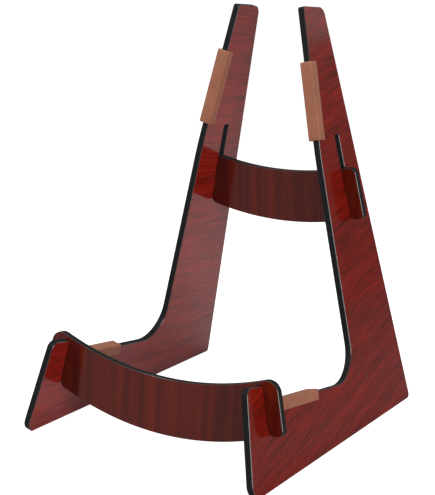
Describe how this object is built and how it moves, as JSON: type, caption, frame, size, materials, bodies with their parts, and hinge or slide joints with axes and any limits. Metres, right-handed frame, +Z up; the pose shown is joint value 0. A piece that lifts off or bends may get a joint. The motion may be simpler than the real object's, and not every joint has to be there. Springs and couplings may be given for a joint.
{
  "type": "guitar stand",
  "caption": "Knock-down wooden guitar stand: leaning L-shaped side boards with front hooks and padded edges, joined by curved crossboards that slot into them.",
  "frame": {"origin": "on the floor, under the middle of the stand's width and depth", "axes": "+Z up; +X to the right seen from the front; +Y to the back, so the hooks are at -Y and the tall arms at +Y"},
  "size_m": [0.276, 0.3152, 0.4113],
  "materials": {
    "side_lacquer": "high-gloss mahogany-red lacquer over wood grain, black sawn edges",
    "crossboard_lacquer": "high-gloss dark red-brown lacquer, black sawn edges",
    "pad": "smooth tan, softly satin"
  },
  "bodies": {
    "side_right": {"side_panel_right": "side_lacquer", "arm_pad_right": "pad", "foot_pad_right": "pad"},
    "upper_board": {"upper_crossboard": "crossboard_lacquer"},
    "front_board": {"front_crossboard": "crossboard_lacquer"},
    "side_left": {"side_panel_left": "side_lacquer", "arm_pad_left": "pad", "foot_pad_left": "pad"}
  },
  "joints": [
    {"name": "upper_crossboard_lift", "type": "slide", "parent": "side_right", "child": "upper_board", "axis": [-0.2228, -0.0646, 0.9727], "range_m": [0, 0.029]},
    {"name": "front_crossboard_lift", "type": "slide", "parent": "side_right", "child": "front_board", "axis": [-0.2226, 0.0782, 0.9718], "range_m": [0, 0.02904]},
    {"name": "side_left_spread", "type": "slide", "parent": "side_right", "child": "side_left", "axis": [-1, 0, 0], "range_m": [0, 0.01293]}
  ],
  "couplings": [
    {"joint": "front_crossboard_lift", "follows": "upper_crossboard_lift", "ratio": 1.001},
    {"joint": "side_left_spread", "follows": "upper_crossboard_lift", "ratio": 0.44557}
  ]
}
